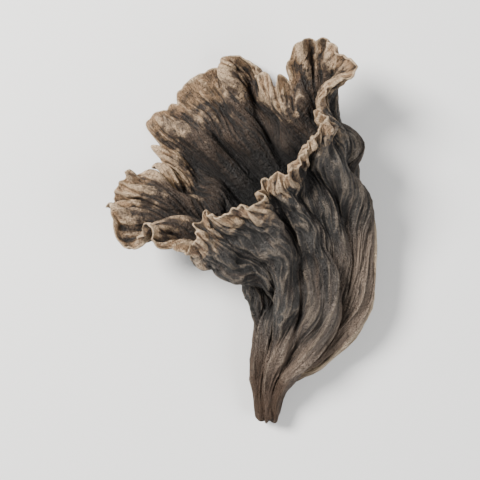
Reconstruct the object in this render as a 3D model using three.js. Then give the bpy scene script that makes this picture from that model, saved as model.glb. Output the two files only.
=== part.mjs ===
// A dried black trumpet mushroom, Craterellus cornucopioides, lying on its side. Millimetres, +Z up.
// It grew as one piece: a funnel of thin, leathery flesh, open at its mouth and hollow to its stem.
// The funnel is drawn first as it was when fresh, smooth and with a rolled rim. Then it is dried.
// Round the funnel the flesh is longer than the room that is left for it, as it is once the water
// has gone, so the wall buckles into the long furrows and the ruffled rim of a dried mushroom.
import * as THREE from "three";

// The grid of the wall's middle surface: rings from the foot to the rim, columns round the funnel.
const RINGS = 35;
const COLUMNS = 100;

// The wall's thickness, and the ring where the hollow ends. Below it the dried stem has closed up.
const WALL = 0.66;
const RIM_WALL = 0.6;
const HOLLOW_FROM = 12;
const FOOT_POINT = 0.5;

// Stations of the fresh funnel: how far along the rings, the middle of its section above the surface
// that it lies on, the section's half width across and half depth up, and how far the section's
// right side is pressed together into a fold.
const STATIONS = [
  { at: 0.0, centre: [0.0, 0.8, 0.9], half: [0.85, 0.75], pinch: 0 },
  { at: 0.13, centre: [0.3, 3.9, 1.4], half: [1.35, 1.1], pinch: 0.3 },
  { at: 0.28, centre: [2.5, 8.4, 2.0], half: [3.5, 1.6], pinch: 0.75 },
  { at: 0.4, centre: [2.7, 11.4, 2.7], half: [4.1, 2.0], pinch: 0.75 },
  { at: 0.56, centre: [1.5, 14.9, 3.4], half: [4.7, 2.6], pinch: 0.35 },
  { at: 0.72, centre: [-0.5, 17.5, 4.0], half: [5.9, 3.0], pinch: 0 },
  { at: 0.86, centre: [-2.4, 19.6, 4.4], half: [6.6, 3.5], pinch: 0 },
  { at: 1.0, centre: [-4.0, 21.3, 4.8], half: [7.0, 3.8], pinch: 0 },
];
const SWELL = 0.07;

// The rim rolls outwards, and the lip that faces up stands further back than the one below it.
const CURL_START = 0.7;
const CURL_RADIUS = 1.7;
const CURL_TURN = 2.1;
const LIP_START = 0.35;
const LIP_DROP = 3.2;

// The rim isn't even, and it is split in places: where, how deep as a share of the funnel's
// length, and how wide, with both angles in radians.
const UNEVEN_RIM = 0.025;
const UNEVEN_START = 0.55;
const SPLITS = [
  { angle: 1.25, depth: 0.09, width: 0.16 },
  { angle: 2.5, depth: 0.05, width: 0.14 },
  { angle: 4.1, depth: 0.1, width: 0.16 },
  { angle: 5.6, depth: 0.06, width: 0.14 },
];

// How much longer than its room the dried flesh is, round the funnel.
const EXCESS_FOOT = 0.15;
const EXCESS_STEM = 0.48;
const EXCESS_BODY = 0.48;
const EXCESS_RIM = 0.72;
const EXCESS_PATCHES = 0.3;
const SHAKE = 0.12;

// The drying: its steps, how stiffly the wall bends and how far apart two bending points are, how
// firmly it keeps its pose, and the room that its folds leave each other and the surface below.
const STEPS = 160;
const SWEEPS = 6;
const BEND = 0.07;
const BEND_REACH = 0.55;
const KEPT_WAVES = 4;
const KEEP_POSE = 0.35;
const KEEP_PLACE = 0.02;
const STEM_CLEARANCE = 0.4;
const CLEARANCE = 1.05;
const SAME_FOLD = 1.5;
const FLOOR = 0.24;
const STRETCH_GUESS = 1.35;

// Easing: how far the wall's directions are evened out, and how often folds that meet are eased.
const NORMAL_REACH = 0.5;
const EASE_FROM = 31;
const EASE_EVERY = 4;
const EASE_PASSES = 150;
const FINAL_SMOOTHING = 0.3;

const COLOUR = 0x4a3f37;
const ROUGHNESS = 0.8;

const smooth = (x) => {
  const t = Math.min(1, Math.max(0, x));
  return t * t * (3 - 2 * t);
};
const mix = (from, to, share) => from + (to - from) * share;

function seededRandom(seed) {
  let state = seed >>> 0;
  return () => {
    state = (state + 0x6d2b79f5) >>> 0;
    let t = Math.imul(state ^ (state >>> 15), 1 | state);
    t = (t + Math.imul(t ^ (t >>> 7), 61 | t)) ^ t;
    return ((t ^ (t >>> 14)) >>> 0) / 4294967296;
  };
}

// A smooth random field over the wall from a few seeded waves, which closes on itself round it.
function waveField(seed, count, [fewest, most], along) {
  const random = seededRandom(seed);
  const waves = [];
  for (let k = 0; k < count; k++) {
    waves.push({
      round: Math.round(mix(fewest, most, random())),
      along: (2 * random() - 1) * along,
      phase: 2 * Math.PI * random(),
    });
  }
  const size = Math.sqrt(2 / count);
  const height = (wave, angle, at) =>
    Math.cos(wave.round * angle + 2 * Math.PI * wave.along * at + wave.phase);
  return (angle, at) => size * waves.reduce((sum, wave) => sum + height(wave, angle, at), 0);
}
const swellField = waveField(5, 10, [2, 4], 1.2);
const curlField = waveField(11, 6, [1, 4], 0.3);
const rimField = waveField(41, 8, [2, 9], 0);
const excessField = waveField(23, 14, [2, 9], 1.5);
const shakeField = waveField(31, 40, [3, 16], 3);

// Points, rings and columns. Every list of points runs ring by ring.
const index = (i, j) => i * COLUMNS + ((j % COLUMNS) + COLUMNS) % COLUMNS;
const ringOf = (k) => Math.floor(k / COLUMNS);
const columnOf = (k) => k % COLUMNS;
const angleOf = (j) => (2 * Math.PI * j) / COLUMNS;
// How far along the funnel a ring is: the rings stand closer together near the rim.
const ringAt = (i) => {
  const t = i / (RINGS - 1);
  return t * (1.25 - 0.25 * t * t);
};

// The fresh funnel.
const stationCurve = (pick) => new THREE.CatmullRomCurve3(
  STATIONS.map((s) => new THREE.Vector3(...pick(s))), false, "catmullrom", 0.5);
const centreLine = stationCurve((s) => s.centre);
const sections = stationCurve((s) => [...s.half, s.pinch]);
function curveParameter(at) {
  let k = 0;
  while (k < STATIONS.length - 2 && at > STATIONS[k + 1].at) k++;
  const share = (at - STATIONS[k].at) / (STATIONS[k + 1].at - STATIONS[k].at);
  return (k + share) / (STATIONS.length - 1);
}

// The share of the funnel's length that is missing at the rim.
function missing(angle) {
  let cut = UNEVEN_RIM * Math.max(0, 1 + rimField(angle, 0));
  for (const split of SPLITS) {
    const away = Math.atan2(Math.sin(angle - split.angle), Math.cos(angle - split.angle));
    cut += split.depth * Math.exp(-((away / split.width) ** 2));
  }
  return cut;
}

function freshPoint(angle, ring) {
  const at = ring * (1 - missing(angle) * smooth((ring - UNEVEN_START) / (1 - UNEVEN_START)));
  const u = curveParameter(at);
  const along = centreLine.getTangent(u);
  const across = new THREE.Vector3().crossVectors(along, new THREE.Vector3(0, 0, 1)).normalize();
  const up = new THREE.Vector3().crossVectors(across, along).normalize();
  const { x: halfWidth, y: halfDepth, z: pinch } = sections.getPoint(u);
  const swell = 1 + SWELL * swellField(angle, at);
  const c = Math.cos(angle);
  const s = Math.sin(angle);
  const outward = new THREE.Vector3()
    .addScaledVector(across, c / halfWidth)
    .addScaledVector(up, s / halfDepth)
    .normalize();
  const rolled = smooth((at - CURL_START) / (1 - CURL_START));
  const turn = CURL_TURN * rolled * Math.min(1.15, 0.8 + 0.22 * curlField(angle, at));
  const lip = smooth((at - LIP_START) / (1 - LIP_START));
  return centreLine.getPoint(u)
    .addScaledVector(across, halfWidth * c * swell)
    .addScaledVector(up, halfDepth * s * swell * (1 - pinch * Math.max(0, c) ** 2))
    .addScaledVector(outward, CURL_RADIUS * (1 - Math.cos(turn)))
    .addScaledVector(along, CURL_RADIUS * (Math.sin(turn) - 0.6 * rolled) - LIP_DROP * lip * s);
}

const fresh = [];
for (let i = 0; i < RINGS; i++) {
  for (let j = 0; j < COLUMNS; j++) fresh.push(freshPoint(angleOf(j), ringAt(i)));
}
const points = fresh.map((p) => p.clone());

// Distances along the wall: between neighbours round each ring, and from the foot to each ring.
const freshStep = [];
const span = [0];
for (let i = 0; i < RINGS; i++) {
  let round = 0;
  let up = 0;
  for (let j = 0; j < COLUMNS; j++) {
    round += fresh[index(i, j)].distanceTo(fresh[index(i, j + 1)]) / COLUMNS;
    if (i > 0) up += fresh[index(i, j)].distanceTo(fresh[index(i - 1, j)]) / COLUMNS;
  }
  freshStep.push(round);
  if (i > 0) span.push(span[i - 1] + up);
}
function alongWall(k, l) {
  const apart = Math.abs(columnOf(k) - columnOf(l));
  const steps = Math.min(apart, COLUMNS - apart);
  const between = Math.round((ringOf(k) + ringOf(l)) / 2);
  return Math.hypot(steps * STRETCH_GUESS * freshStep[between], span[ringOf(l)] - span[ringOf(k)]);
}

// The solid stem has its outside on the middle surface, and the hollow wall half its thickness
// further out. The folds of the stem may lie closer together too.
const hollowShare = (i) => smooth(i / HOLLOW_FROM);
const clearanceAt = (i) => mix(STEM_CLEARANCE, CLEARANCE, hollowShare(i));
const clearanceOf = (k, l) => Math.min(clearanceAt(ringOf(k)), clearanceAt(ringOf(l)));
const wallAt = (i) => mix(WALL, RIM_WALL, smooth((ringAt(i) - 0.6) / 0.4));

function excess(angle, at) {
  const stem = mix(EXCESS_FOOT, EXCESS_STEM, smooth(at / 0.2));
  const body = mix(stem, EXCESS_BODY, smooth((at - 0.3) / 0.3));
  const rim = mix(body, EXCESS_RIM, smooth((at - 0.66) / 0.34) ** 1.5);
  const patch = Math.max(-1.5, Math.min(1.5, excessField(angle, at)));
  return rim * (1 + EXCESS_PATCHES * patch);
}

// The links of the wall: to the neighbours, diagonally, and softer ones that resist bending. Each
// has its length when fresh, and its length when dried, which is longer as far as it runs round.
const links = [];
function link(i, j, m, n, stiffness) {
  const a = index(i, j);
  const b = index(m, n);
  const way = fresh[b].clone().sub(fresh[a]);
  const between = Math.round((i + m) / 2);
  const roundWay = fresh[index(between, j + 1)].clone().sub(fresh[index(between, j)]).normalize();
  const round = way.dot(roundWay);
  const growth = 1 + excess(angleOf((j + n) / 2), (ringAt(i) + ringAt(m)) / 2);
  const whenFresh = way.length();
  const whenDry = Math.sqrt(whenFresh ** 2 + round ** 2 * (growth ** 2 - 1));
  links.push({ a, b, whenFresh, whenDry, stiffness });
}
for (let i = 0; i < RINGS; i++) {
  const bendColumns = Math.max(2, Math.round(BEND_REACH / (1.3 * freshStep[i])));
  for (let j = 0; j < COLUMNS; j++) {
    link(i, j, i, j + 1, 1);
    link(i, j, i, j + bendColumns, BEND);
    if (i + 1 < RINGS) {
      link(i, j, i + 1, j, 1);
      link(i, j, i + 1, j + 1, 0.5);
      link(i, j + 1, i + 1, j, 0.5);
    }
    if (i + 2 < RINGS) link(i, j, i + 2, j, 1.5 * BEND);
  }
}

// The wall is shaken a little, so that it has somewhere to buckle.
points.forEach((p, k) => {
  const i = ringOf(k);
  const j = columnOf(k);
  const round = fresh[index(i, j + 1)].clone().sub(fresh[index(i, j - 1)]);
  const up = fresh[index(Math.min(i + 1, RINGS - 1), j)].clone()
    .sub(fresh[index(Math.max(i - 1, 0), j)]);
  const shake = SHAKE * shakeField(angleOf(j), ringAt(i)) * smooth(ringAt(i) / 0.15);
  p.addScaledVector(round.cross(up).normalize(), shake);
});

// One sweep over the links: each moves its two ends to the length that it has by now.
function relax(dried) {
  for (const { a, b, whenFresh, whenDry, stiffness } of links) {
    const p = points[a];
    const q = points[b];
    const dx = q.x - p.x;
    const dy = q.y - p.y;
    const dz = q.z - p.z;
    const length = Math.hypot(dx, dy, dz);
    const share = (0.5 * stiffness * (length - mix(whenFresh, whenDry, dried))) / length;
    p.x += share * dx;
    p.y += share * dy;
    p.z += share * dz;
    q.x -= share * dx;
    q.y -= share * dy;
    q.z -= share * dz;
  }
}

// Pull each ring's middle, tilt and oval back to the fresh one's, and every point a very little.
function keepPose() {
  for (let i = 0; i < RINGS; i++) {
    for (let wave = 0; wave < KEPT_WAVES; wave++) {
      const cosine = new THREE.Vector3();
      const sine = new THREE.Vector3();
      for (let j = 0; j < COLUMNS; j++) {
        const away = fresh[index(i, j)].clone().sub(points[index(i, j)]);
        cosine.addScaledVector(away, Math.cos(wave * angleOf(j)));
        sine.addScaledVector(away, Math.sin(wave * angleOf(j)));
      }
      const scale = ((wave === 0 ? 1 : 2) / COLUMNS) * KEEP_POSE;
      for (let j = 0; j < COLUMNS; j++) {
        points[index(i, j)]
          .addScaledVector(cosine, scale * Math.cos(wave * angleOf(j)))
          .addScaledVector(sine, scale * Math.sin(wave * angleOf(j)));
      }
    }
  }
  points.forEach((p, k) => p.lerp(fresh[k], KEEP_PLACE));
}

// Lists for finding what lies close: the things in each cube of a grid of the given size.
const cubeOf = (x, y, z) => (x + 64) * 16384 + (y + 64) * 128 + z + 64;
function addTo(cubes, id, thing) {
  if (!cubes.has(id)) cubes.set(id, []);
  cubes.get(id).push(thing);
}

// Pairs of points of different folds that may come too close to each other.
function closePairs() {
  const size = 1.6 * CLEARANCE;
  const place = (p) => [p.x, p.y, p.z].map((v) => Math.floor(v / size));
  const cubes = new Map();
  points.forEach((p, k) => addTo(cubes, cubeOf(...place(p)), k));
  const pairs = [];
  points.forEach((p, k) => {
    const [x, y, z] = place(p);
    for (let near = 0; near < 27; near++) {
      const id = cubeOf(x + Math.floor(near / 9) - 1, y + (Math.floor(near / 3) % 3) - 1, z + (near % 3) - 1);
      for (const l of cubes.get(id) ?? []) {
        if (l <= k) continue;
        const gap = clearanceOf(k, l);
        if (p.distanceTo(points[l]) > 1.6 * gap || alongWall(k, l) < SAME_FOLD * gap) continue;
        pairs.push({ k, l, gap });
      }
    }
  });
  return pairs;
}
function keepApart(pairs) {
  for (const { k, l, gap } of pairs) {
    const way = points[l].clone().sub(points[k]);
    const length = way.length();
    if (length >= gap) continue;
    way.multiplyScalar((0.5 * (gap - length)) / length);
    points[l].add(way);
    points[k].sub(way);
  }
}
function keepOffFloor() {
  points.forEach((p, k) => {
    p.z = Math.max(p.z, FLOOR * hollowShare(ringOf(k)));
  });
}

// The wall's outward directions, evened out a little round the funnel.
function outwardAt(i, j) {
  const round = points[index(i, j + 1)].clone().sub(points[index(i, j - 1)]);
  const up = points[index(Math.min(i + 1, RINGS - 1), j)].clone()
    .sub(points[index(Math.max(i - 1, 0), j)]);
  return up.cross(round).normalize();
}
function outwardDirections() {
  const sharp = points.map((p, k) => outwardAt(ringOf(k), columnOf(k)));
  return sharp.map((direction, k) => {
    const i = ringOf(k);
    const mean = direction.clone();
    for (const way of [1, -1]) {
      let j = columnOf(k);
      let path = 0;
      for (let step = 0; step < 10 && path < 2.4 * NORMAL_REACH; step++) {
        path += points[index(i, j)].distanceTo(points[index(i, j + way)]);
        j += way;
        mean.addScaledVector(sharp[index(i, j)], Math.exp(-((path / NORMAL_REACH) ** 2)));
      }
    }
    return mean.normalize();
  });
}

// The solid's points: the wall's outside, then its inside, then the foot's tip and the hollow's end.
const INSIDE = RINGS * COLUMNS;
const FOOT_TIP = 2 * INSIDE;
const HOLLOW_END = FOOT_TIP + 1;
function solidPoints() {
  const directions = outwardDirections();
  const offset = (side) => points.map((point, k) => {
    const p = point.clone().addScaledVector(directions[k], side(ringOf(k)) * wallAt(ringOf(k)));
    p.z = Math.max(p.z, 0);
    return p;
  });
  const solid = [...offset((i) => 0.5 * hollowShare(i)), ...offset(() => -0.5)];
  const middle = (start) => {
    const sum = new THREE.Vector3();
    for (let j = 0; j < COLUMNS; j++) sum.add(solid[start + j]);
    return sum.multiplyScalar(1 / COLUMNS);
  };
  const footTip = middle(0).add(new THREE.Vector3(0, -FOOT_POINT, 0));
  return [...solid, footTip, middle(INSIDE + index(HOLLOW_FROM, 0))];
}

// The solid's faces, all turned outwards.
const faces = [];
for (let j = 0; j < COLUMNS; j++) {
  for (let i = 0; i < RINGS - 1; i++) {
    const a = index(i, j);
    const b = index(i, j + 1);
    const c = index(i + 1, j + 1);
    const d = index(i + 1, j);
    faces.push([a, c, b], [a, d, c]);
    if (i < HOLLOW_FROM) continue;
    faces.push([INSIDE + a, INSIDE + b, INSIDE + c], [INSIDE + a, INSIDE + c, INSIDE + d]);
  }
  const rim = index(RINGS - 1, j);
  const nextRim = index(RINGS - 1, j + 1);
  faces.push([rim, INSIDE + nextRim, nextRim], [rim, INSIDE + rim, INSIDE + nextRim]);
  faces.push([FOOT_TIP, index(0, j), index(0, j + 1)]);
  faces.push([HOLLOW_END, INSIDE + index(HOLLOW_FROM, j + 1), INSIDE + index(HOLLOW_FROM, j)]);
}

// Whether the edge from p to q runs through the face a, b, c.
function edgeMeetsFace(p, q, [a, b, c]) {
  const way = q.clone().sub(p);
  const side = b.clone().sub(a);
  const otherSide = c.clone().sub(a);
  const h = way.clone().cross(otherSide);
  const volume = side.dot(h);
  if (Math.abs(volume) < 1e-12) return false;
  const s = p.clone().sub(a);
  const g = s.clone().cross(side);
  const u = s.dot(h) / volume;
  const v = way.dot(g) / volume;
  const t = otherSide.dot(g) / volume;
  return u >= 0 && v >= 0 && u + v <= 1 && t >= 0 && t <= 1;
}
function facesMeet(f, g, solid) {
  const first = faces[f].map((k) => solid[k]);
  const second = faces[g].map((k) => solid[k]);
  return [0, 1, 2].some((k) =>
    edgeMeetsFace(first[k], first[(k + 1) % 3], second) ||
    edgeMeetsFace(second[k], second[(k + 1) % 3], first));
}

// Pairs of faces where the thick wall runs through itself.
function crossings(solid) {
  const boxes = faces.map((face) => new THREE.Box3().setFromPoints(face.map((k) => solid[k])));
  const cubes = new Map();
  boxes.forEach(({ min, max }, f) => {
    for (let x = Math.floor(min.x); x <= max.x; x++) {
      for (let y = Math.floor(min.y); y <= max.y; y++) {
        for (let z = Math.floor(min.z); z <= max.z; z++) addTo(cubes, cubeOf(x, y, z), f);
      }
    }
  });
  const seen = new Set();
  const found = [];
  for (const inCube of cubes.values()) {
    for (let m = 0; m < inCube.length; m++) {
      for (let n = m + 1; n < inCube.length; n++) {
        const f = Math.min(inCube[m], inCube[n]);
        const g = Math.max(inCube[m], inCube[n]);
        if (!boxes[f].intersectsBox(boxes[g])) continue;
        if (seen.has(f * faces.length + g)) continue;
        seen.add(f * faces.length + g);
        if (faces[f].some((k) => faces[g].includes(k))) continue;
        if (facesMeet(f, g, solid)) found.push([f, g]);
      }
    }
  }
  return found;
}

// Ease such places: the wall is evened out there, and two folds that press on each other part.
function neighbours(k) {
  const i = ringOf(k);
  const j = columnOf(k);
  const near = [index(i, j - 1), index(i, j + 1)];
  if (i > 0 && i < RINGS - 1) near.push(index(i - 1, j), index(i + 1, j));
  return near;
}
function evenOut(chosen, weight) {
  const before = points.map((p) => p.clone());
  for (const k of chosen) {
    const near = neighbours(k);
    const mean = new THREE.Vector3();
    for (const l of near) mean.addScaledVector(before[l], 1 / near.length);
    points[k].lerp(mean, weight);
  }
}
const wallPointsOf = (face) => face.filter((k) => k < FOOT_TIP).map((k) => k % INSIDE);
function ease(crossing, spread) {
  let creased = new Set();
  const pressed = [];
  for (const [f, g] of crossing) {
    const first = wallPointsOf(faces[f]);
    const second = wallPointsOf(faces[g]);
    for (const k of first) {
      for (const l of second) {
        const gap = clearanceOf(k, l);
        if (k !== l && alongWall(k, l) > SAME_FOLD * gap) pressed.push({ k, l, gap: 1.2 * gap });
      }
    }
    for (const k of [...first, ...second]) creased.add(k);
  }
  for (let round = 0; round < spread; round++) {
    creased = new Set([...creased].flatMap((k) => [k, ...neighbours(k)]));
  }
  evenOut(creased, 0.5);
  for (let sweep = 0; sweep < 3; sweep++) keepApart(pressed);
  keepOffFloor();
}

// The drying itself. Three quarters of the steps bring the wall to its full length, and in the
// others it settles.
let pairs = [];
for (let step = 0; step < STEPS; step++) {
  if (step % 4 === 0) pairs = closePairs();
  for (let sweep = 0; sweep < SWEEPS; sweep++) {
    relax(smooth((step + 1) / (0.75 * STEPS)));
    keepApart(pairs);
  }
  keepPose();
  keepOffFloor();
  if (step >= EASE_FROM && step % EASE_EVERY === EASE_EVERY - 1) ease(crossings(solidPoints()), 0);
}
evenOut(points.keys(), FINAL_SMOOTHING);
let solid = solidPoints();
let crossing = crossings(solid);
for (let pass = 0; pass < EASE_PASSES && crossing.length > 0; pass++) {
  ease(crossing, Math.floor(pass / 12) % 6);
  solid = solidPoints();
  crossing = crossings(solid);
}

// The origin is under the middle of the mushroom, on the surface that it lies on.
const box = new THREE.Box3().setFromPoints(solid);
const middle = box.getCenter(new THREE.Vector3());
const origin = new THREE.Vector3(middle.x, middle.y, box.min.z);

const geometry = new THREE.BufferGeometry();
const positions = solid.flatMap((p) => p.clone().sub(origin).toArray());
geometry.setAttribute("position", new THREE.Float32BufferAttribute(positions, 3));
geometry.setIndex(faces.flat());
geometry.computeVertexNormals();

const flesh = new THREE.MeshStandardMaterial({ color: COLOUR, roughness: ROUGHNESS, metalness: 0 });
const mushroom = new THREE.Mesh(geometry, flesh);
mushroom.name = "mushroom";

const part = new THREE.Group();
part.add(mushroom);
export default part;
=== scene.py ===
# A dried black trumpet mushroom, Craterellus cornucopioides, lying on its side.
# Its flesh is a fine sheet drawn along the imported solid's own wall: thinned as it dries, torn at the
# rim, and wrinkled. Its colours follow the wall from the foot to the rim and through to the inside.
import math
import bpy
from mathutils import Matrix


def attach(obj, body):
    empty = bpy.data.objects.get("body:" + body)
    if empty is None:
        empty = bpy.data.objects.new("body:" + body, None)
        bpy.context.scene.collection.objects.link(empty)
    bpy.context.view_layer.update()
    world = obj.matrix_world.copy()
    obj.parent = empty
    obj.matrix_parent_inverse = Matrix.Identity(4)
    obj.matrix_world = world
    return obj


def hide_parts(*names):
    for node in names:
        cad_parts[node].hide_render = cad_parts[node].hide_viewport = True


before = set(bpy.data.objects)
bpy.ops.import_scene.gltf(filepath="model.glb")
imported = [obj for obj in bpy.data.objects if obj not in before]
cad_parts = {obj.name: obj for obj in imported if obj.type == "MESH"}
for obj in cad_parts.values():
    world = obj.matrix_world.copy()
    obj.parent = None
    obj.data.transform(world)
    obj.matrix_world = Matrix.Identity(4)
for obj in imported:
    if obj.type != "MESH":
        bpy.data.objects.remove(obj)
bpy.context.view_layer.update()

from types import SimpleNamespace

import bmesh
import bpy
import numpy as np
from mathutils import Matrix, Vector, noise

MM = 0.001
FULL_TURN = 2 * math.pi

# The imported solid: points closer than this are one point, and its lowest rings have no hollow.
SAME_POINT = 0.002 * MM
SOLID_RINGS = 12

# The wall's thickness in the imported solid, once dried, and at its bare edge, and how far the wall
# thins towards that edge, which is rounded by a share of its thickness. Below the low part's height,
# the thinned wall is let down on the floor again.
SOLID_WALL = 0.62 * MM
DRIED_WALL = 0.38 * MM
EDGE_WALL = 0.16 * MM
EDGE_REACH = 3.0 * MM
EDGE_ROUND = 0.3
LOW_PART = 4.0 * MM

# Where the funnel starts to be hollow and where it fully is, in shares of its length.
HOLLOW_START = 0.28
HOLLOW_FULL = 0.45

# The fine mesh: its columns round the funnel, and how many rings it has for one of the solid's rings:
# deep inside, on the body, and near the rim. Those parts meet at these rings of the solid.
COLUMNS = 720
DEEP_RINGS = 1
BODY_RINGS = 2
RIM_RINGS = 4
DEEP_BELOW = 20
RIM_FROM = 28

# The foot's broken end, a ragged lip round a shallow hollow: the turns, in radians, from its middle
# back to the stem's side, how far the end and its lip stand out, in shares of the solid's foot, and
# how unevenly the lip is worn.
FOOT_TURNS = (1.35, 1.1, 0.85, 0.6, 0.3)
FOOT_END = 0.5
FOOT_LIP = 0.3
FOOT_WEAR = 1.8

# The torn rim, in rings of the solid: how deep it is worn, nicked and split, and how far from the
# rim the flesh gives way. The torn line is evened out over so many columns.
WORN_DEPTH = 2.4
NICK_DEPTH = 2.0
SPLIT_DEPTH = 5.0
TEAR_REACH = 10.0
TEAR_EVENED = 9

# Two lobes keep the most of their edge: the top one, from a height upwards, and the left one, which
# is given by its angle and its width in radians.
TOP_LOBE = 7.6 * MM
TOP_BLEND = 1.0 * MM
TOP_KEPT = 0.75
LEFT_LOBE = 4.16
LEFT_LOBE_WIDTH = 0.13
LEFT_KEPT = 0.95

# The sharp fold down the right side. It follows the side's edge between two shares of the funnel's
# length, fades at its foot and where it is gone, and lies a little above that edge.
FOLD_FROM = 0.10
FOLD_TO = 0.52
FOLD_GONE = FOLD_TO + 0.1
FOLD_FADE = 0.12
FOLD_LIFT = 1.0 * MM
FOLD_HEIGHT = 0.35 * MM
FOLD_WIDTH = 0.55 * MM

# How high each kind of relief stands, how wide and long it is, and how far from the rim it reaches.
# Creases and pleats are made sharper by the gain, and no point is raised by less than the last value.
SOFT_HEIGHT = 0.13 * MM
SOFT_WIDTH = 1.8 * MM
SOFT_LENGTH = 4 * MM
CREASE_HEIGHT = 0.30 * MM
CREASE_WIDTH = 1.5 * MM
CREASE_REACH = 7 * MM
PLEAT_HEIGHT = 0.16 * MM
PLEAT_WIDTH = 0.7 * MM
PLEAT_REACH = 4.5 * MM
FURROW_HEIGHT = 0.20 * MM
FURROW_WIDTH = 0.85 * MM
FURROW_LENGTH = 9 * FURROW_WIDTH
WRINKLE_HEIGHT = 0.10 * MM
WRINKLE_WIDTH = 0.32 * MM
WRINKLE_LENGTH = 8 * WRINKLE_WIDTH
SCALE_HEIGHT = 0.11 * MM
SCALE_WIDTH = 0.6 * MM
SCALE_LENGTH = 2.5 * SCALE_WIDTH
FIBRE_LENGTH = 7 * SCALE_WIDTH
SHARP_GAIN = 2.2
LEAST_RELIEF = 1e-9

# Where the relief fades out: at the foot and on the stem, in shares of the funnel's length, and in
# millimetres above the floor and behind the rim.
FOOT_FADE = 0.15
BODY_FROM = 0.12
BODY_FADE = 0.3
FLOOR_GAP = 0.15
FLOOR_FADE = 1.3
RIM_FADE = 1.2

# The random fields: how far apart two seeds and two numbers of waves lie in the noise, and how each
# finer octave is weaker and smaller.
SEEDS_APART = 17.3
WAVES_APART = 5
OCTAVE_FALL = 0.6
OCTAVE_STEP = 2.1

# The ridges that the colours follow, fine to broad: how often the surroundings are evened out, and
# how high a full ridge stands above them. Points closer than the last value pull no harder.
RIDGES = (("crest", 4, 0.016 * MM), ("ridge", 12, 0.05 * MM), ("swell", 120, 0.22 * MM))
CLOSEST = 0.02 * MM


# Small helpers.

def smooth(x):
    """0 below 0 and 1 above 1, with a soft start and end between them."""
    t = np.clip(x, 0.0, 1.0)
    return t * t * (3 - 2 * t)


def unit(vectors):
    return vectors / np.maximum(np.linalg.norm(vectors, axis=-1, keepdims=True), 1e-12)


def work_on(piece):
    """Selects the piece alone."""
    bpy.ops.object.select_all(action="DESELECT")
    piece.select_set(True)
    bpy.context.view_layer.objects.active = piece


def places(piece):
    found = np.zeros(len(piece.data.vertices) * 3, np.float32)
    piece.data.vertices.foreach_get("co", found)
    return found.reshape(-1, 3).astype(float)


def move_points(piece, shifts):
    moved = places(piece) + shifts
    piece.data.vertices.foreach_set("co", moved.astype(np.float32).ravel())
    piece.data.update()


def keep_value(piece, name, values):
    """Keeps one number, or one vector, for each point of the piece under that name."""
    single = values.ndim == 1
    attribute = piece.data.attributes.get(name)
    if attribute is None:
        attribute = piece.data.attributes.new(name, "FLOAT" if single else "FLOAT_VECTOR", "POINT")
    attribute.data.foreach_set("value" if single else "vector", values.astype(np.float32).ravel())


def kept_value(piece, name):
    attribute = piece.data.attributes[name]
    single = attribute.data_type == "FLOAT"
    found = np.zeros(len(attribute.data) * (1 if single else 3), np.float32)
    attribute.data.foreach_get("value" if single else "vector", found)
    return found.astype(float) if single else found.reshape(-1, 3).astype(float)


def keep_rings(piece, name, values):
    """Keeps the rings' values, and gives each of the two tips the mean of the ring next to it."""
    flat = values.reshape(-1, *values.shape[2:])
    tips = [values[0].mean(axis=0), values[-1].mean(axis=0)]
    keep_value(piece, name, np.concatenate([flat, tips]))


def raise_by(piece, name, heights):
    """Raises the piece's points along their normals by the heights, with a Displace modifier."""
    heights = heights + LEAST_RELIEF
    reach = heights.max()
    group = piece.vertex_groups.new(name=name)
    for number, weight in enumerate(heights / reach):
        group.add([number], weight, "REPLACE")
    work_on(piece)
    relief = piece.modifiers.new(name, "DISPLACE")
    relief.vertex_group = name
    relief.strength = reach
    relief.mid_level = 0.0
    bpy.ops.object.modifier_apply(modifier=relief.name)
    piece.vertex_groups.remove(piece.vertex_groups[name])


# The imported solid, as a grid of rings and columns.

def copy_of_solid():
    """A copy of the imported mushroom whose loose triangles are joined."""
    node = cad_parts["mushroom"]
    piece = bpy.data.objects.new("solid_copy", node.data.copy())
    bpy.context.scene.collection.objects.link(piece)
    work_on(piece)
    bpy.ops.object.mode_set(mode="EDIT")
    bpy.ops.mesh.select_all(action="SELECT")
    bpy.ops.mesh.remove_doubles(threshold=SAME_POINT)
    bpy.ops.object.mode_set(mode="OBJECT")
    return piece


def find_rings(shape):
    """The points of the funnel, ring by ring, from its foot over its rim to the hollow's end."""
    poles = sorted(shape.verts, key=lambda point: -len(point.link_edges))[:2]
    foot = min(poles, key=lambda point: point.co.y)
    rings = [[foot]]
    seen = {foot}
    while rings[-1]:
        ring = []
        for point in rings[-1]:
            for edge in point.link_edges:
                other = edge.other_vert(point)
                if other not in seen:
                    seen.add(other)
                    ring.append(other)
        rings.append(ring)
    return rings[:-1]


def in_order(ring):
    """The points of one ring, in their order round it."""
    members = set(ring)
    ordered = [ring[0]]
    seen = {ring[0]}
    while len(ordered) < len(ring):
        neighbours = [edge.other_vert(ordered[-1]) for edge in ordered[-1].link_edges]
        ordered.append(next(p for p in neighbours if p in members and p not in seen))
        seen.add(ordered[-1])
    return ordered


def total_length(edges):
    return sum(edge.calc_length() for edge in edges)


def ways_up(columns, upper):
    """The edges from the tops of all columns to the ring above: those straight up the wall."""
    number = {point: k for k, point in enumerate(in_order(upper))}
    straight = []
    turned = []
    for column in columns:
        top = column[-1]
        ways = [edge for edge in top.link_edges if edge.other_vert(top) in number]
        ways.sort(key=lambda edge: number[edge.other_vert(top)])
        if number[ways[1].other_vert(top)] - number[ways[0].other_vert(top)] > 1:
            ways.reverse()
        straight.append(ways[0])
        turned.append(ways[1])
    return turned if total_length(turned) < total_length(straight) else straight


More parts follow.
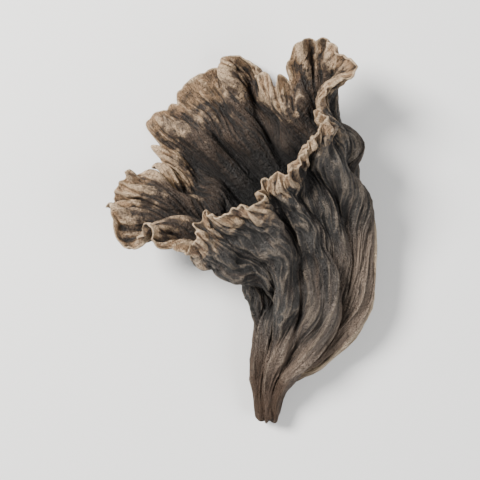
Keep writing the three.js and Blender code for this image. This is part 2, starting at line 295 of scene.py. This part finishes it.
def solid_grid():
    """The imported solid's points by ring and column: its outside, then its inside from the rim down,
    with the foot's tip and the hollow's end."""
    piece = copy_of_solid()
    shape = bmesh.new()
    shape.from_mesh(piece.data)
    rings = find_rings(shape)
    columns = [[point] for point in in_order(rings[1])]
    for upper in rings[2:-1]:
        for column, way in zip(columns, ways_up(columns, upper)):
            column.append(way.other_vert(column[-1]))
    grid = np.array([[point.co[:] for point in column] for column in columns]).swapaxes(0, 1)
    foot_tip = np.array(rings[0][0].co)
    hollow_end = np.array(rings[-1][0].co)
    shape.free()
    bpy.data.objects.remove(piece)
    return grid, foot_tip, hollow_end


def solid_wall():
    """The solid's wall: its sides and outward ways by ring and column, and for each ring the path
    to it from the foot, the way round it, and its place along the funnel."""
    grid, foot_tip, hollow_end = solid_grid()
    rings = (len(grid) + SOLID_RINGS) // 2
    outside = grid[:rings]
    stem = outside[:SOLID_RINGS]
    inside = np.concatenate([stem, grid[:rings - 1:-1]])
    outward = outside - inside
    outward[:SOLID_RINGS] = stem - stem.mean(axis=1, keepdims=True)
    steps = np.linalg.norm(outside[1:] - outside[:-1], axis=2).mean(axis=1)
    path = np.concatenate([[0], np.cumsum(steps)])
    return SimpleNamespace(
        outside=outside,
        inside=inside,
        outward=unit(outward),
        path=path,
        girth=np.linalg.norm(outside - np.roll(outside, 1, axis=1), axis=2).sum(axis=1),
        along=path / path[-1],
        foot_tip=foot_tip,
        hollow_end=hollow_end,
    )


# Random fields over the wall.

def field(points, seed, octaves=1):
    """Smooth random numbers, from about -1 to 1, at points given in units of the field's waves."""
    shifted = points + SEEDS_APART * seed
    if octaves == 1:
        return np.array([noise.noise(point) for point in shifted])
    return np.array([noise.fractal(point, OCTAVE_FALL, OCTAVE_STEP, octaves) for point in shifted])


def round_field(angle, waves, seed, octaves=1):
    """A field that runs round the funnel alone, and closes on itself."""
    across = waves / FULL_TURN
    points = np.stack([across * np.cos(angle), across * np.sin(angle), 0 * angle], axis=1)
    return field(points, seed, octaves)


def wall_field(piece, width, length, seed, octaves=1):
    """A field over the wall whose waves are as wide and long as said. Where the funnel gets wider,
    it has more waves round it: there it passes smoothly from one number of them to its double."""
    round_x = kept_value(piece, "round_x")
    round_y = kept_value(piece, "round_y")
    up = kept_value(piece, "path") / length
    doublings = np.log2(kept_value(piece, "girth") / width)
    lower = np.floor(doublings)
    total = 0
    for step in (0, 1):
        across = 2 ** (lower + step) / FULL_TURN
        height = up + WAVES_APART * (lower + step)
        points = np.stack([across * round_x, across * round_y, height], axis=1)
        away = np.abs(doublings - lower - step)
        total = total + field(points, seed, octaves) * np.cos(0.5 * math.pi * away)
    return total


def ridges(values, sharpness):
    """Turns a smooth field into narrow ridges where it crosses zero."""
    return np.maximum(0, 1 - np.abs(values) * sharpness)


def sharp_folds(piece, width, seeds):
    """Sharp valleys and crests over the wall, about three times as long as they are wide."""
    length = 3 * width
    valleys = np.abs(wall_field(piece, width, length, seeds[0]))
    crests = np.abs(wall_field(piece, 1.1 * width, 0.8 * length, seeds[1]))
    return valleys - crests


# Drawing the dried sheet along the solid's wall.

def hollow_share(along):
    """0 where the stem has closed, and 1 where the funnel is fully hollow."""
    return smooth((along - HOLLOW_START) / (HOLLOW_FULL - HOLLOW_START))


def thin(wall):
    """Thins the wall from both sides, most at its edge, and lets it down on the floor again."""
    from_rim = wall.path[-1] - wall.path
    wall.thickness = EDGE_WALL + (DRIED_WALL - EDGE_WALL) * smooth(from_rim / EDGE_REACH)
    pull = (0.5 * (SOLID_WALL - wall.thickness) * hollow_share(wall.along))[:, None, None]
    low = 1 - smooth(wall.outside[:, :, 2:] / LOW_PART)
    down = np.array((0, 0, 1)) * pull * low
    wall.outside = wall.outside - wall.outward * pull - down
    wall.inside = wall.inside + wall.outward * pull - down


def on_spline(points, times, closed):
    """Points at the given times on the smooth curve that follows the rows of points."""
    start = np.floor(times).astype(int)
    part = (times - start).reshape(times.shape + (1,) * (points.ndim - 1))
    weights = (
        (1 - part) ** 3 / 6,
        (3 * part ** 3 - 6 * part ** 2 + 4) / 6,
        (-3 * part ** 3 + 3 * part ** 2 + 3 * part + 1) / 6,
        part ** 3 / 6,
    )
    total = 0
    for step, weight in enumerate(weights):
        rows = start + step - 1
        rows = rows % len(points) if closed else np.clip(rows, 0, len(points) - 1)
        total = total + weight * points[rows]
    return total


def with_columns(rows):
    """The rings of the solid's wall, with the fine mesh's columns."""
    times = np.arange(COLUMNS) * rows.shape[1] / COLUMNS
    return on_spline(rows.swapaxes(0, 1), times, True).swapaxes(0, 1)


def at_times(rows, times):
    """The wall at the given times of each column, which are counted in rings of the solid."""
    return np.stack([on_spline(rows[:, k], times[:, k], False) for k in range(COLUMNS)], axis=1)


def ring_times(first, last, each):
    """Times from one of the solid's rings up to another, with so many to each ring."""
    return np.arange(first * each, last * each) / each


def ring_plan(last):
    """Where the fine mesh has its rings: up the outside, and down the inside."""
    rim = ring_times(RIM_FROM, last, RIM_RINGS)
    stem_and_body = ring_times(0, RIM_FROM, BODY_RINGS)
    deep = ring_times(SOLID_RINGS, DEEP_BELOW, DEEP_RINGS)
    body = ring_times(DEEP_BELOW, RIM_FROM, BODY_RINGS)
    up = np.concatenate([stem_and_body, rim, [last]])
    back = np.concatenate([deep, body, rim, [last]])[::-1]
    return up, back


def tear_depth(angle):
    """How far the rim is torn back at each angle: it is worn and nicked all round, but less in some
    places, and split in a few."""
    worn = WORN_DEPTH * np.maximum(0, 0.4 + 1.2 * round_field(angle, waves=20, seed=1, octaves=3))
    nicks = NICK_DEPTH * np.maximum(0, 2.2 * round_field(angle, waves=90, seed=2, octaves=2) - 0.1)
    splits = SPLIT_DEPTH * np.maximum(0, 1 - 9 * np.abs(round_field(angle, waves=15, seed=3)))
    where = smooth(4 * round_field(angle, waves=9, seed=4))
    torn = worn + nicks + splits * where
    wide = np.concatenate([torn[-TEAR_EVENED:], torn, torn[:TEAR_EVENED]])
    share = np.hanning(TEAR_EVENED) / np.hanning(TEAR_EVENED).sum()
    return np.convolve(wide, share, "same")[TEAR_EVENED:-TEAR_EVENED]


def torn_line(angle, rim_heights):
    """How far the rim is torn back, with two lobes that keep more of their edge."""
    high = smooth((rim_heights - TOP_LOBE) / TOP_BLEND)
    left = np.exp(-((angle - LEFT_LOBE) / LEFT_LOBE_WIDTH) ** 2)
    return tear_depth(angle) * (1 - TOP_KEPT * high) * (1 - LEFT_KEPT * left)


def torn_back(times, last, tear):
    """Moves the rings back with the torn rim, less and less with their distance from it."""
    give = np.clip(1 - (last - times) / TEAR_REACH, 0, 1)
    return times[:, None] - give[:, None] * tear[None, :]


def draw_sheet(wall, angle):
    """The sheet's rings, from the foot over the torn rim to the hollow's end: their points, outward
    ways and measures, the share of the inside in each, and the path to the rim in each column."""
    last = len(wall.path) - 1
    up, back = ring_plan(last)
    outside = with_columns(wall.outside)
    inside = with_columns(wall.inside)
    tear = torn_line(angle, outside[-1, :, 2])
    up_times = torn_back(up, last, tear)
    back_times = torn_back(back, last, tear)
    times = np.concatenate([up_times, up_times[-1:], back_times])
    outer = at_times(outside, up_times)
    inner = at_times(inside, back_times)
    rimward = unit(outer[-1] - outer[-2])
    edge = 0.5 * (outer[-1] + inner[0]) + EDGE_ROUND * EDGE_WALL * rimward
    lines = np.stack([wall.path, wall.girth, wall.along, wall.thickness], axis=1)
    measures = at_times(np.repeat(lines[:, None, :], COLUMNS, axis=1), times)
    return SimpleNamespace(
        points=np.concatenate([outer, edge[None], inner]),
        outward=unit(at_times(with_columns(wall.outward), times)),
        measures=measures,
        inside=np.concatenate([np.zeros(len(up)), [0.5], np.ones(len(back))]),
        rim_path=measures[len(up) - 1, :, 0],
    )


def add_foot(sheet, foot_tip, angle):
    """Adds the foot's broken end before the first ring, and returns the middle of that end."""
    middle = sheet.points[0].mean(axis=0)
    tip_way = foot_tip - middle
    turns = np.array(FOOT_TURNS)[:, None, None]
    wear = FOOT_WEAR * round_field(angle, waves=12, seed=7, octaves=2)
    lip = FOOT_LIP * (1 + wear)[None, :, None]
    swell = FOOT_END * np.sin(turns) + lip * np.sin(2 * turns)
    end = middle + (sheet.points[0] - middle) * np.cos(turns) + tip_way * swell
    end_outward = unit(sheet.outward[:1] * np.cos(turns) + unit(tip_way) * np.sin(turns))
    end_measures = np.repeat(sheet.measures[:1], len(end), axis=0)
    sheet.points = np.concatenate([end, sheet.points])
    sheet.outward = np.concatenate([end_outward, sheet.outward])
    sheet.measures = np.concatenate([end_measures, sheet.measures])
    sheet.inside = np.concatenate([np.zeros(len(end)), sheet.inside])
    return middle + FOOT_END * tip_way


def fold_distance(points, along, girth, angle):
    """How far each point of the wall is, round the funnel, from the fold down the right side."""
    ring_along = along.mean(axis=1)
    folded = (ring_along > FOLD_FROM) & (ring_along < FOLD_TO)
    right = angle[points[folded, :, 0].argmax(axis=1)]
    line = np.polynomial.Polynomial.fit(ring_along[folded], right, deg=2)
    turn = angle[None, :] - line(along) + FULL_TURN * FOLD_LIFT / girth
    return np.abs((turn + math.pi) % FULL_TURN - math.pi) * girth / FULL_TURN


def mesh_of_rings(points, first_tip, last_tip):
    """A closed mesh of the rings of points, with a tip before the first and after the last."""
    rows, columns = points.shape[:2]
    number = np.arange(rows * columns).reshape(rows, columns)
    turned = np.roll(number, -1, axis=1)
    quads = np.stack([number[:-1], turned[:-1], turned[1:], number[1:]], axis=-1).reshape(-1, 4)
    foot = rows * columns
    end = foot + 1
    faces = quads.tolist()
    faces += [(foot, b, a) for a, b in zip(number[0].tolist(), turned[0].tolist())]
    faces += [(end, a, b) for a, b in zip(number[-1].tolist(), turned[-1].tolist())]
    mesh = bpy.data.meshes.new("mushroom_flesh")
    all_points = np.concatenate([points.reshape(-1, 3), [first_tip, last_tip]])
    mesh.from_pydata(all_points.tolist(), [], faces)
    piece = bpy.data.objects.new("mushroom_flesh", mesh)
    bpy.context.scene.collection.objects.link(piece)
    work_on(piece)
    bpy.ops.object.mode_set(mode="EDIT")
    bpy.ops.mesh.select_all(action="SELECT")
    bpy.ops.mesh.normals_make_consistent(inside=False)
    bpy.ops.object.mode_set(mode="OBJECT")
    return piece


def draw_flesh():
    """The dried sheet's mesh, which keeps what each of its points is on the wall."""
    angle = FULL_TURN * np.arange(COLUMNS) / COLUMNS
    wall = solid_wall()
    thin(wall)
    sheet = draw_sheet(wall, angle)
    foot_middle = add_foot(sheet, wall.foot_tip, angle)
    piece = mesh_of_rings(sheet.points, foot_middle, wall.hollow_end)
    path, girth, along, thickness = np.moveaxis(sheet.measures, 2, 0)
    fold = fold_distance(sheet.points, along, girth, angle)
    keep_rings(piece, "from_fold", fold / MM)
    keep_rings(piece, "round_x", np.broadcast_to(np.cos(angle)[None, :], path.shape))
    keep_rings(piece, "round_y", np.broadcast_to(np.sin(angle)[None, :], path.shape))
    keep_rings(piece, "inside", np.broadcast_to(sheet.inside[:, None], path.shape))
    keep_rings(piece, "path", path)
    keep_rings(piece, "girth", girth)
    keep_rings(piece, "along", along)
    keep_rings(piece, "wall", thickness)
    keep_rings(piece, "from_rim", (sheet.rim_path[None, :] - path) / MM)
    keep_rings(piece, "outward", sheet.outward)
    return piece


# Wrinkling the sheet.

def room_below(piece):
    """0 for points that lie on the floor, and 1 for those well above it."""
    return smooth((places(piece)[:, 2] / MM - FLOOR_GAP) / FLOOR_FADE)


def near_rim(piece, reach):
    """1 at the rim, and 0 from the reach downwards."""
    return smooth(1 - kept_value(piece, "from_rim") * MM / reach)


def behind_rim(piece):
    """0 at the thin edge of the rim, and 1 a little way down the wall."""
    return smooth(kept_value(piece, "from_rim") / RIM_FADE)


def on_fold(piece):
    """1 along the part of the funnel that is folded down its right side, and 0 beyond it."""
    along = kept_value(piece, "along")
    return smooth((along - FOLD_FROM) / FOLD_FADE) * smooth((FOLD_GONE - along) / FOLD_FADE)


def crumple(piece):
    """Creases the whole sheet, softly on the body and sharply and finely near the rim, and folds it
    down its right side."""
    body = smooth((kept_value(piece, "along") - BODY_FROM) / BODY_FADE)
    soft = SOFT_HEIGHT * body * wall_field(piece, SOFT_WIDTH, SOFT_LENGTH, seed=3, octaves=2)
    creased = 0.35 * body + 0.65 * near_rim(piece, CREASE_REACH)
    creases = CREASE_HEIGHT * creased * SHARP_GAIN * sharp_folds(piece, CREASE_WIDTH, seeds=(4, 11))
    pleated = near_rim(piece, PLEAT_REACH)
    pleats = PLEAT_HEIGHT * pleated * SHARP_GAIN * sharp_folds(piece, PLEAT_WIDTH, seeds=(9, 12))
    across = kept_value(piece, "from_fold") * MM / FOLD_WIDTH
    fold = FOLD_HEIGHT * on_fold(piece) * np.exp(-across ** 2)
    heights = (soft + creases + pleats) * room_below(piece) + fold
    move_points(piece, kept_value(piece, "outward") * heights[:, None])


def furrows(piece):
    """Long narrow ridges on the outside, with finer wrinkles between them."""
    broad = ridges(wall_field(piece, FURROW_WIDTH, FURROW_LENGTH, seed=5), sharpness=4.5)
    narrow = ridges(wall_field(piece, WRINKLE_WIDTH, WRINKLE_LENGTH, seed=6), sharpness=3.5)
    above_foot = smooth(kept_value(piece, "along") / FOOT_FADE)
    heights = FURROW_HEIGHT * broad * above_foot + WRINKLE_HEIGHT * narrow
    heights *= (1 - kept_value(piece, "inside")) * room_below(piece) * behind_rim(piece)
    raise_by(piece, "furrows", heights)


def scales(piece):
    """The inside is rough with small fibrous scales that lie towards the rim."""
    rough = wall_field(piece, SCALE_WIDTH, SCALE_LENGTH, seed=8, octaves=3)
    flakes = np.clip(0.45 + rough, 0, 1)
    fibres = ridges(wall_field(piece, SCALE_WIDTH, FIBRE_LENGTH, seed=10), sharpness=2.4)
    inner = smooth(kept_value(piece, "inside") * 2 - 0.6)
    heights = SCALE_HEIGHT * (flakes + 0.8 * fibres) * inner * behind_rim(piece)
    raise_by(piece, "scales", heights)


def rest_on_floor(piece):
    """Lifts what has sunk into the floor. Both sides of the wall are lifted by the same amount."""
    height = places(piece)[:, 2]
    tilt = kept_value(piece, "outward")[:, 2]
    side = 1 - 2 * kept_value(piece, "inside")
    half = 0.5 * kept_value(piece, "wall") * hollow_share(kept_value(piece, "along"))
    middle = height - side * half * tilt
    lift = np.maximum(0, half * np.abs(tilt) - middle)
    still_sunk = np.maximum(0, -(height + lift))
    move_points(piece, np.outer(lift + still_sunk, (0, 0, 1)))


def evened(piece, values, times):
    """The values, evened out with those of the neighbouring points so many times."""
    mesh = piece.data
    ends = np.zeros(len(mesh.edges) * 2, np.int32)
    mesh.edges.foreach_get("vertices", ends)
    first, second = ends.reshape(-1, 2).T
    size = len(mesh.vertices)
    place = places(piece)
    closeness = 1 / np.maximum(np.linalg.norm(place[first] - place[second], axis=1), CLOSEST)
    weight = np.bincount(first, closeness, size) + np.bincount(second, closeness, size)
    made = []
    for column in values.T:
        for _ in range(times):
            total = np.bincount(first, column[second] * closeness, size)
            total += np.bincount(second, column[first] * closeness, size)
            column = 0.5 * column + 0.5 * total / weight
        made.append(column)
    return np.stack(made, axis=1)


def mark_ridges(piece):
    """Keeps how far each point stands above its surroundings, from a fine scale to a broad one."""
    place = places(piece)
    normals = np.zeros(len(place) * 3, np.float32)
    piece.data.vertices.foreach_get("normal", normals)
    normals = normals.reshape(-1, 3)
    for name, times, height in RIDGES:
        above = ((place - evened(piece, place, times)) * normals).sum(axis=1)
        keep_value(piece, name, np.clip(above / height, -1, 1))


def make_flesh():
    """The whole mushroom's flesh, wrinkled, with the values that its colours follow."""
    piece = draw_flesh()
    crumple(piece)
    furrows(piece)
    scales(piece)
    rest_on_floor(piece)
    mark_ridges(piece)
    keep_value(piece, "fold", on_fold(piece))
    grain = np.stack([kept_value(piece, name) for name in ("round_x", "round_y", "along")], axis=1)
    keep_value(piece, "grain", grain)
    work_on(piece)
    bpy.ops.object.shade_smooth()
    return piece


# Materials.

class Nodes:
    """Short words for the nodes of one material."""

    def __init__(self, name):
        self.material = bpy.data.materials.new(name)
        self.material.use_nodes = True
        self.tree = self.material.node_tree
        self.shader = self.tree.nodes["Principled BSDF"]

    def put(self, value, socket):
        """Links a value that varies over the surface, and sets one that doesn't."""
        if isinstance(value, bpy.types.NodeSocket):
            self.tree.links.new(value, socket)
        else:
            socket.default_value = value

    def add(self, kind, inputs, **settings):
        made = self.tree.nodes.new(kind)
        for name, value in settings.items():
            setattr(made, name, value)
        for name, value in inputs.items():
            self.put(value, made.inputs[name])
        return made

    def attribute(self, name):
        return self.add("ShaderNodeAttribute", {}, attribute_name=name)

    def value(self, name):
        return self.attribute(name).outputs["Fac"]

    def scaled(self, vector, scale):
        return self.add("ShaderNodeMapping", {"Vector": vector, "Scale": scale}).outputs["Vector"]

    def noise(self, vector, size, detail, roughness, distortion=0.0):
        inputs = {
            "Vector": vector,
            "Scale": size,
            "Detail": detail,
            "Roughness": roughness,
            "Distortion": distortion,
        }
        return self.add("ShaderNodeTexNoise", inputs).outputs["Fac"]

    def crinkle(self, vector, size):
        """A net of fine sharp wrinkles, where a noise crosses its middle."""
        wave = self.noise(vector, size, detail=3.0, roughness=0.6, distortion=0.7)
        off_middle = self.maths("ABSOLUTE", self.maths("SUBTRACT", wave, 0.5), 0.0)
        return self.step(off_middle, 0.10, 0.0)

    def step(self, value, low, high):
        """0 below low and 1 above high, or the other way round, and smooth between them."""
        inputs = {"Value": value, "From Min": low, "From Max": high}
        made = self.add("ShaderNodeMapRange", inputs, interpolation_type="SMOOTHSTEP")
        return made.outputs["Result"]

    def between(self, value, low, high):
        """A value from 0 to 1 spread over the range from low to high."""
        made = self.add("ShaderNodeMapRange", {"Value": value, "To Min": low, "To Max": high})
        return made.outputs["Result"]

    def maths(self, operation, first, second):
        made = self.add("ShaderNodeMath", {}, operation=operation)
        self.put(first, made.inputs[0])
        self.put(second, made.inputs[1])
        return made.outputs[0]

    def plus(self, first, second):
        return self.maths("ADD", first, second)

    def times(self, first, second):
        return self.maths("MULTIPLY", first, second)

    def tint(self, base, colour, where, share=1.0):
        """Lays a colour over the base where the value is high, by no more than the share."""
        made = self.add("ShaderNodeMix", {}, data_type="RGBA")
        amount, under, over = made.inputs[0], made.inputs[6], made.inputs[7]
        self.put(where if share == 1.0 else self.times(where, share), amount)
        self.put((*base, 1) if isinstance(base, tuple) else base, under)
        self.put((*colour, 1) if isinstance(colour, tuple) else colour, over)
        return made.outputs[2]

    def bump(self, height, distance, normal=None):
        inputs = {"Height": height, "Distance": distance}
        if normal is not None:
            inputs["Normal"] = normal
        return self.add("ShaderNodeBump", inputs).outputs["Normal"]


# Colours of the dried flesh, with the painted shade and painted highlights laid on it.
CHARCOAL = (0.022, 0.02, 0.0185)
SLATE = (0.058, 0.052, 0.047)
BLOOM = (0.125, 0.108, 0.094)
UMBER = (0.062, 0.038, 0.025)
FOLD_TAN = (0.26, 0.188, 0.138)
# A painted highlight along the fold's sharp ridge.
FOLD_HIGHLIGHT = (0.69, 0.53, 0.36)
# Pale on crests and ridges: partly their own paler colour, partly a painted highlight.
RIDGE_PALE_AND_HIGHLIGHT = (0.26, 0.205, 0.152)
STEM_BROWN = (0.085, 0.05, 0.03)
# The inside's own dark colour, deepened by painted shade deep in the hollow.
HOLLOW_BLACK_AND_SHADE = (0.004, 0.0034, 0.003)
INSIDE_BROWN = (0.032, 0.0215, 0.0155)
FIBRE_BROWN = (0.11, 0.07, 0.044)
RIM_TAN = (0.38, 0.236, 0.126)
RIM_BROWN = (0.145, 0.078, 0.041)
# Pale on the rim's ridges: partly their own paler colour, partly a painted highlight.
RIM_PALE_AND_HIGHLIGHT = (0.62, 0.45, 0.29)
EDGE_CREAM = (0.64, 0.48, 0.31)
# Painted shade, near black, laid where the surface lies low.
PAINTED_SHADE = (0.007, 0.0058, 0.005)

# Patterns are sized in waves to the millimetre, and those along the grain in waves round the funnel
# and along it. The depths say how strongly each pattern also roughens the surface.
PER_MM = (1000, 1000, 1000)
COARSE_GRAIN = (9, 9, 3)
FINE_GRAIN = (30, 30, 9)
CRINKLE_DEPTH = 0.25 * MM
COARSE_DEPTH = 0.30 * MM
FINE_DEPTH = 0.24 * MM
SPECKLE_DEPTH = 0.06 * MM
GLOSS = 0.45


def flesh_patterns(n):
    """The patterns of the flesh, and the values its mesh keeps. Distances are in millimetres, and
    places along the funnel in shares of its length."""
    place = n.scaled(n.add("ShaderNodeTexCoord", {}).outputs["Object"], PER_MM)
    grain = n.attribute("grain").outputs["Vector"]
    coarse_grain = n.scaled(grain, COARSE_GRAIN)
    fine_grain = n.scaled(grain, FINE_GRAIN)
    names = ("along", "inside", "from_rim", "from_fold", "fold", "crest", "ridge", "swell")
    return SimpleNamespace(
        mottle=n.noise(place, 0.45, detail=7.0, roughness=0.68, distortion=0.6),
        patches=n.noise(place, 1.3, detail=5.0, roughness=0.65),
        speckle=n.noise(place, 9.0, detail=3.0, roughness=0.7),
        crinkle=n.plus(n.crinkle(place, 1.6), n.times(n.crinkle(place, 4.0), 0.6)),
        coarse_fibres=n.noise(coarse_grain, 1.0, detail=4.0, roughness=0.6, distortion=0.4),
        fine_fibres=n.noise(fine_grain, 1.0, detail=3.0, roughness=0.65, distortion=0.3),
        **{name: n.value(name) for name in names},
    )


def outside_colour(n, flesh):
    """Slate grey with umber fibres, a pale bloom and pale ridges that are partly painted highlights,
    brown towards the foot, tan beside the fold, and a painted highlight along the fold's ridge.
    """
    colour = n.tint(CHARCOAL, SLATE, n.step(flesh.mottle, 0.35, 0.65))
    colour = n.tint(colour, UMBER, n.step(flesh.coarse_fibres, 0.48, 0.7), share=0.6)
    colour = n.tint(colour, BLOOM, n.step(flesh.patches, 0.52, 0.78), share=0.45)
    colour = n.tint(colour, STEM_BROWN, n.step(flesh.along, 0.34, 0.05))
    wander = n.plus(flesh.from_fold, n.between(flesh.coarse_fibres, 6.0, -6.0))
    beside_fold = n.times(n.step(wander, 8.5, 0.5), flesh.fold)
    colour = n.tint(colour, FOLD_TAN, beside_fold, share=0.75)
    # The crests and ridges are laid pale, partly as their own paler colour and partly as a painted
    # highlight.
    streaks = n.between(flesh.fine_fibres, 0.0, 1.4)
    crest_pale_and_highlight = n.times(n.step(flesh.crest, 0.4, 1.15), streaks)
    colour = n.tint(colour, RIDGE_PALE_AND_HIGHLIGHT, crest_pale_and_highlight, share=0.6)
    colour = n.tint(colour, RIDGE_PALE_AND_HIGHLIGHT, n.step(flesh.ridge, 0.4, 1.0), share=0.12)
    # A painted highlight along the fold's sharp ridge, broken by the fine fibres.
    painted_fold_highlight = n.times(n.step(flesh.from_fold, 0.46, 0.1), flesh.fold)
    broken = n.step(flesh.fine_fibres, 0.18, 0.55)
    return n.tint(colour, FOLD_HIGHLIGHT, n.times(painted_fold_highlight, broken))


def inside_colour(n, flesh):
    """Nearly black deep in the hollow, the inside's own dark colour deepened by painted shade, and
    browner towards the rim, with brown fibres and crests.
    """
    # Painted shade deepens the inside's dark colour further into the hollow.
    colour = n.tint(HOLLOW_BLACK_AND_SHADE, INSIDE_BROWN, n.step(flesh.along, 0.68, 0.97))
    towards_rim = n.step(flesh.along, 0.66, 0.95)
    fibres = n.times(n.step(flesh.coarse_fibres, 0.48, 0.66), towards_rim)
    colour = n.tint(colour, FIBRE_BROWN, fibres, share=0.6)
    crests = n.times(n.step(flesh.crest, 0.2, 1.0), towards_rim)
    return n.tint(colour, FIBRE_BROWN, crests, share=0.6)


def with_rim(n, flesh, colour):
    """The rim is tan and brown with pale ridges that are partly painted highlights, and cream where
    the sheet's edge is bare.
    """
    wander = n.plus(flesh.from_rim, n.between(flesh.patches, 4.5, -4.5))
    tan = n.tint(RIM_TAN, RIM_BROWN, n.step(flesh.mottle, 0.52, 0.62))
    colour = n.tint(colour, tan, n.step(wander, 2.6, 0.0), share=0.85)
    # The rim's ridges are laid pale, partly as their own paler colour and partly as a painted
    # highlight.
    rim_ridges_pale_and_highlight = n.times(n.step(flesh.ridge, 0.05, 0.9), n.step(wander, 3.2, 0.4))
    colour = n.tint(colour, RIM_PALE_AND_HIGHLIGHT, rim_ridges_pale_and_highlight, share=0.7)
    frayed = n.plus(flesh.from_rim, n.between(flesh.coarse_fibres, 1.2, -0.9))
    return n.tint(colour, EDGE_CREAM, n.step(frayed, 0.35, 0.0), share=0.7)


def with_painted_shade_and_specks(n, flesh, colour):
    """Painted shade in what lies low, at each scale, and fine pale specks."""
    # Painted shade where the surface lies low: between the fine wrinkles, below crests and ridges, and
    # in broad hollows.
    colour = n.tint(colour, PAINTED_SHADE, n.step(flesh.crinkle, 0.5, 0.0), share=0.12)
    colour = n.tint(colour, PAINTED_SHADE, n.step(flesh.crest, -0.1, -1.0), share=0.35)
    colour = n.tint(colour, PAINTED_SHADE, n.step(flesh.ridge, -0.2, -1.0), share=0.5)
    colour = n.tint(colour, PAINTED_SHADE, n.step(flesh.swell, 0.0, -1.0), share=0.5)
    return n.tint(colour, BLOOM, n.step(flesh.speckle, 0.6, 0.78), share=0.25)


def flesh_material():
    """Dry flesh: slate grey outside with pale ridges that are partly painted highlights, tan at the
    rim, nearly black inside with painted shade deep in the hollow, and painted shade where it lies
    low.
    """
    n = Nodes("dried_flesh")
    flesh = flesh_patterns(n)
    through = n.step(flesh.inside, 0.3, 0.7)
    colour = n.tint(outside_colour(n, flesh), inside_colour(n, flesh), through)
    colour = with_painted_shade_and_specks(n, flesh, with_rim(n, flesh, colour))
    normal = n.bump(flesh.crinkle, CRINKLE_DEPTH)
    normal = n.bump(flesh.coarse_fibres, COARSE_DEPTH, normal)
    normal = n.bump(flesh.fine_fibres, FINE_DEPTH, normal)
    normal = n.bump(flesh.speckle, SPECKLE_DEPTH, normal)
    n.put(colour, n.shader.inputs["Base Color"])
    n.put(n.between(flesh.patches, 0.45, 0.85), n.shader.inputs["Roughness"])
    n.put(GLOSS, n.shader.inputs["Specular IOR Level"])
    n.put(normal, n.shader.inputs["Normal"])
    return n.material


# Camera, light and floor. Places and sizes of the camera and the lights are in millimetres.
CAMERA_AIM = (0.0, -0.2, 3.0)
CAMERA_WAY = (-0.11, 0.12, 1.0)
CAMERA_AWAY = 80
CAMERA_LENS = 85
CAMERA_SENSOR = 36
FLOOR_SIZE = 1.2
FLOOR_COLOUR = (0.82, 0.82, 0.81, 1)
FLOOR_ROUGHNESS = 0.9
SKY_COLOUR = (1, 1, 1, 1)
SKY_STRENGTH = 0.45


def add_camera():
    """Looks down on the mushroom, a little from its left and from its mouth's end."""
    aim = Vector([part * MM for part in CAMERA_AIM])
    back = Vector(CAMERA_WAY).normalized()
    up = (Vector((0, 1, 0)) - back * back.y).normalized()
    right = up.cross(back)
    turn = Matrix((right, up, back)).transposed().to_4x4()
    bpy.ops.object.camera_add()
    camera = bpy.context.object
    camera.data.lens = CAMERA_LENS
    camera.data.sensor_width = CAMERA_SENSOR
    camera.data.clip_start = 1 * MM
    camera.matrix_world = Matrix.Translation(aim + back * CAMERA_AWAY * MM) @ turn
    bpy.context.scene.camera = camera


def add_light(name, place, size, power, colour):
    """A round soft light that shines on the middle of the floor."""
    bpy.ops.object.light_add(type="AREA", location=Vector(place) * MM)
    light = bpy.context.object
    light.name = name
    light.data.shape = "DISK"
    light.data.size = size * MM
    light.data.energy = power
    light.data.color = colour
    light.rotation_euler = Vector(place).to_track_quat("Z", "Y").to_euler()


def add_floor():
    bpy.ops.mesh.primitive_plane_add(size=FLOOR_SIZE)
    floor = bpy.context.object
    floor.name = "floor"
    material = bpy.data.materials.new("pale_floor")
    material.use_nodes = True
    shader = material.node_tree.nodes["Principled BSDF"]
    shader.inputs["Base Color"].default_value = FLOOR_COLOUR
    shader.inputs["Roughness"].default_value = FLOOR_ROUGHNESS
    floor.data.materials.append(material)


def add_world():
    world = bpy.data.worlds.new("studio")
    bpy.context.scene.world = world
    world.use_nodes = True
    background = world.node_tree.nodes["Background"]
    background.inputs["Color"].default_value = SKY_COLOUR
    background.inputs["Strength"].default_value = SKY_STRENGTH


flesh = make_flesh()
flesh.data.materials.append(flesh_material())
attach(flesh, "root")
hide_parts("mushroom")

add_floor()
add_world()
add_light("key", (-110, 70, 120), size=60, power=0.9, colour=(1.0, 0.98, 0.95))
add_light("fill", (120, -40, 110), size=120, power=0.2, colour=(1.0, 1.0, 1.0))
add_camera()
